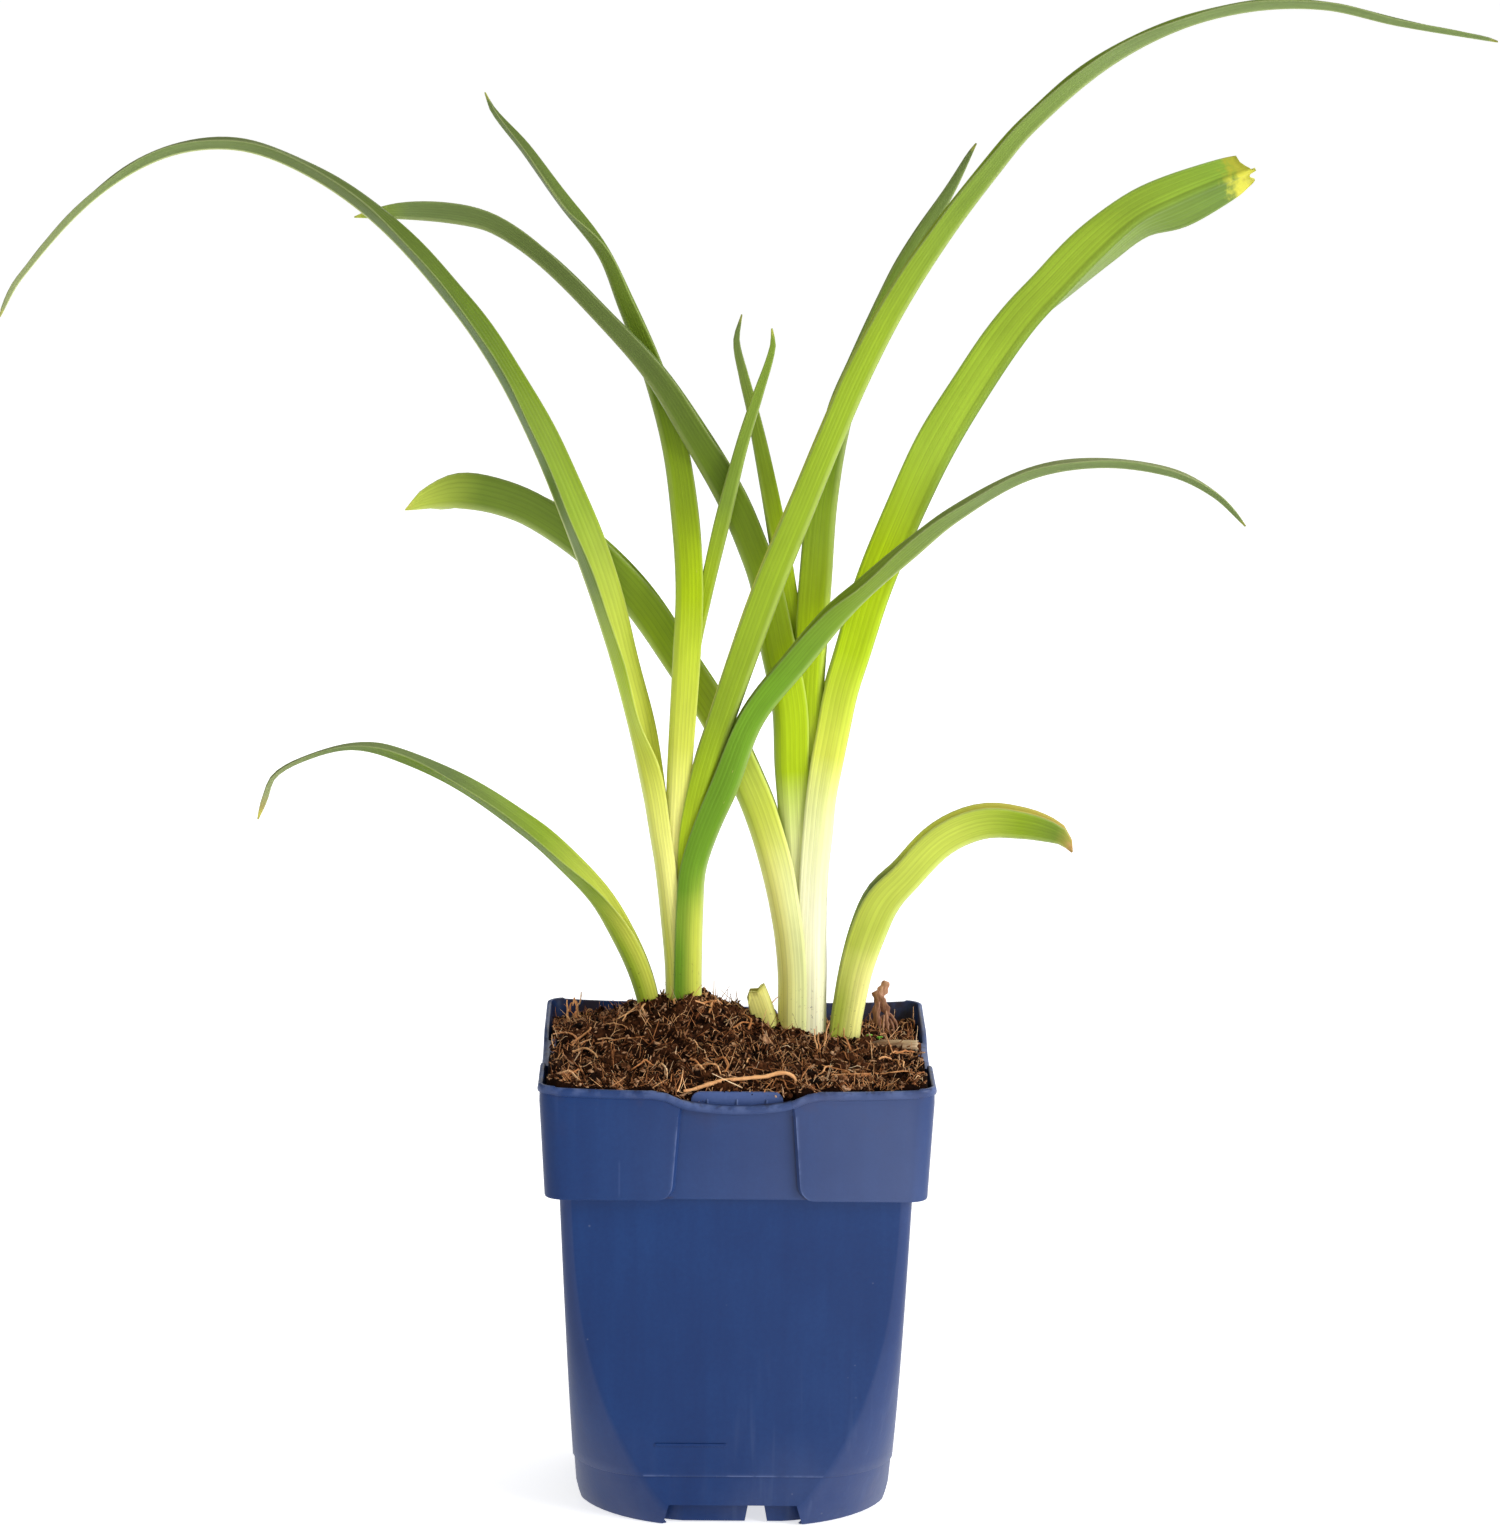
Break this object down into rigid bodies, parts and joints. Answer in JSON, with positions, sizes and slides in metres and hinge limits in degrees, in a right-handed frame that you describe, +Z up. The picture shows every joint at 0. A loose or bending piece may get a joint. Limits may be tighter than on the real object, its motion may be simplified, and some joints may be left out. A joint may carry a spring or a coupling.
{
  "type": "potted daylily",
  "caption": "Potted daylily: two flat fans of long folded arching leaves rising from fibrous potting mix in a square blue plastic nursery pot.",
  "frame": {"origin": "centre of the flat underside of the pot, in the plane the pot stands on", "axes": "+Z up; +X along the plane of the leaf fans, towards the longest leaf; +Y across the fans, away from the side that is seen in front"},
  "size_m": [0.4149, 0.11, 0.4258],
  "materials": {
    "blue_plastic": "satin moulded polypropylene",
    "peat_mix": "loose fibrous peat and coir",
    "crown": "satin",
    "leaf_green": "satin, waxy, fine parallel veins",
    "leaf_grey_green": "satin, waxy, fine parallel veins",
    "leaf_lime": "satin, waxy, fine parallel veins",
    "dry_straw": "matt, dry",
    "root_tan": "matt",
    "bark": "matt"
  },
  "bodies": {
    "root": {"pot": "blue_plastic", "potting_mix": "peat_mix", "crown_left": "crown", "crown_right": "crown", "left_leaf_1": "leaf_grey_green", "left_leaf_2": "leaf_green", "left_leaf_3": "leaf_green", "left_leaf_4": "leaf_lime", "left_leaf_5": "leaf_green", "left_leaf_6": "leaf_lime", "right_leaf_1": "leaf_lime", "right_leaf_2": "leaf_green", "right_leaf_3": "leaf_lime", "right_leaf_4": "leaf_grey_green", "right_leaf_5": "leaf_green", "right_leaf_6": "leaf_lime", "cut_leaf_stub": "leaf_lime", "dry_leaf_scrap": "dry_straw", "surface_root": "root_tan", "bark_chip": "bark"}
  },
  "joints": []
}
